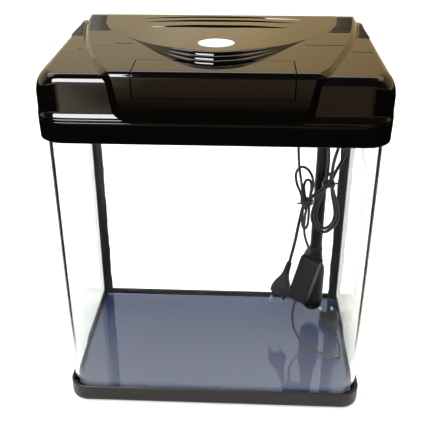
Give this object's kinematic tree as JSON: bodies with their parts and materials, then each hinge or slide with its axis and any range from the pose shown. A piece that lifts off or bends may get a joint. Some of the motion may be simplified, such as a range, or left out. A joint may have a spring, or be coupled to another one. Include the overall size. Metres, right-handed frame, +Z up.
{
  "type": "hooded aquarium",
  "caption": "Desk-top aquarium with a bent-glass tank, black two-part hood with feeding flap, filter pump on a riser tube, lamp, in-line driver and bundled mains leads.",
  "frame": {"origin": "middle of the footprint on the table, at the underside of the feet", "axes": "+X right seen from the front, +Y back, +Z up; the feeding flap faces -Y"},
  "size_m": [0.388, 0.256, 0.4555],
  "materials": {
    "satin_black": "satin brown-black moulded plastic",
    "gloss_black": "polished black moulded plastic",
    "rubber": "soft black rubber",
    "seal": "black silicone seal",
    "blue_film": "blue background film",
    "glass": "clear float glass",
    "white_plastic": "white moulded plastic",
    "lens": "clear plastic lamp lens",
    "board": "printed circuit board",
    "sponge": "open-cell filter foam",
    "steel": "nickel-plated metal",
    "ceramic": "polished ceramic shaft",
    "emblem": "pale blue-white enamel disc",
    "case_black": "fine-textured black case",
    "plug_black": "moulded black plug",
    "cable": "black PVC cable sheath"
  },
  "bodies": {
    "tank": {"base_tray": "satin_black", "foot_front_left": "rubber", "foot_front_right": "rubber", "foot_back_left": "rubber", "foot_back_right": "rubber", "bottom_film": "blue_film", "bottom_glass": "glass", "bent_glass": "glass", "back_glass": "glass", "corner_seal_left": "seal", "corner_seal_right": "seal"},
    "hood": {"hood_frame": "gloss_black", "lamp_housing": "white_plastic", "lamp_board": "board", "lamp_lens": "lens", "lamp_screw_left": "steel", "lamp_screw_right": "steel", "filter_tray": "gloss_black", "filter_sponge": "sponge", "cable_bracket": "gloss_black", "lamp_lead_gland": "rubber", "mains_lead_gland": "rubber", "riser_tube": "satin_black", "riser_coupling": "satin_black", "riser_elbow": "gloss_black", "pump_body": "satin_black", "pump_strainer": "satin_black", "impeller_shaft": "ceramic", "pump_lead_gland": "rubber", "riser_clip": "satin_black", "driver_case_front": "case_black", "driver_case_back": "case_black", "driver_board": "board", "driver_relief_top": "rubber", "driver_relief_bottom": "rubber", "mains_plug": "plug_black", "mains_plug_pin_left": "steel", "mains_plug_pin_right": "steel", "driver_plug": "plug_black", "driver_plug_pin_left": "steel", "driver_plug_pin_right": "steel", "lamp_lead_upper": "cable", "lamp_lead_hank": "cable", "lamp_lead_lower": "cable", "mains_lead_upper": "cable", "mains_lead_loop": "cable", "mains_lead_hank": "cable", "mains_lead_cross": "cable", "mains_lead_lower": "cable", "driver_lead": "cable", "tie_left": "cable", "tie_right": "cable", "pump_lead": "cable"},
    "cover": {"hood_cover": "gloss_black", "emblem_disc": "emblem", "hinge_pin_left": "steel", "hinge_pin_right": "steel"},
    "flap": {"feeding_flap": "gloss_black"},
    "impeller": {"pump_impeller": "white_plastic"}
  },
  "joints": [
    {"name": "hood_lift", "type": "slide", "parent": "tank", "child": "hood", "axis": [0, 0, 1], "range_m": [0, 0.36]},
    {"name": "cover_hinge", "type": "hinge", "parent": "hood", "child": "cover", "pos_m": [0, 0.1282, 0.3882], "axis": [-1, 0, 0], "range_deg": [0, 80]},
    {"name": "flap_hinge", "type": "hinge", "parent": "cover", "child": "flap", "pos_m": [0, -0.0819, 0.44357], "axis": [-1, 0, 0], "range_deg": [0, 95]},
    {"name": "impeller_spin", "type": "hinge", "parent": "hood", "child": "impeller", "pos_m": [0.141, 0.06, 0.075], "axis": [0, 0, 1], "continuous": true}
  ]
}
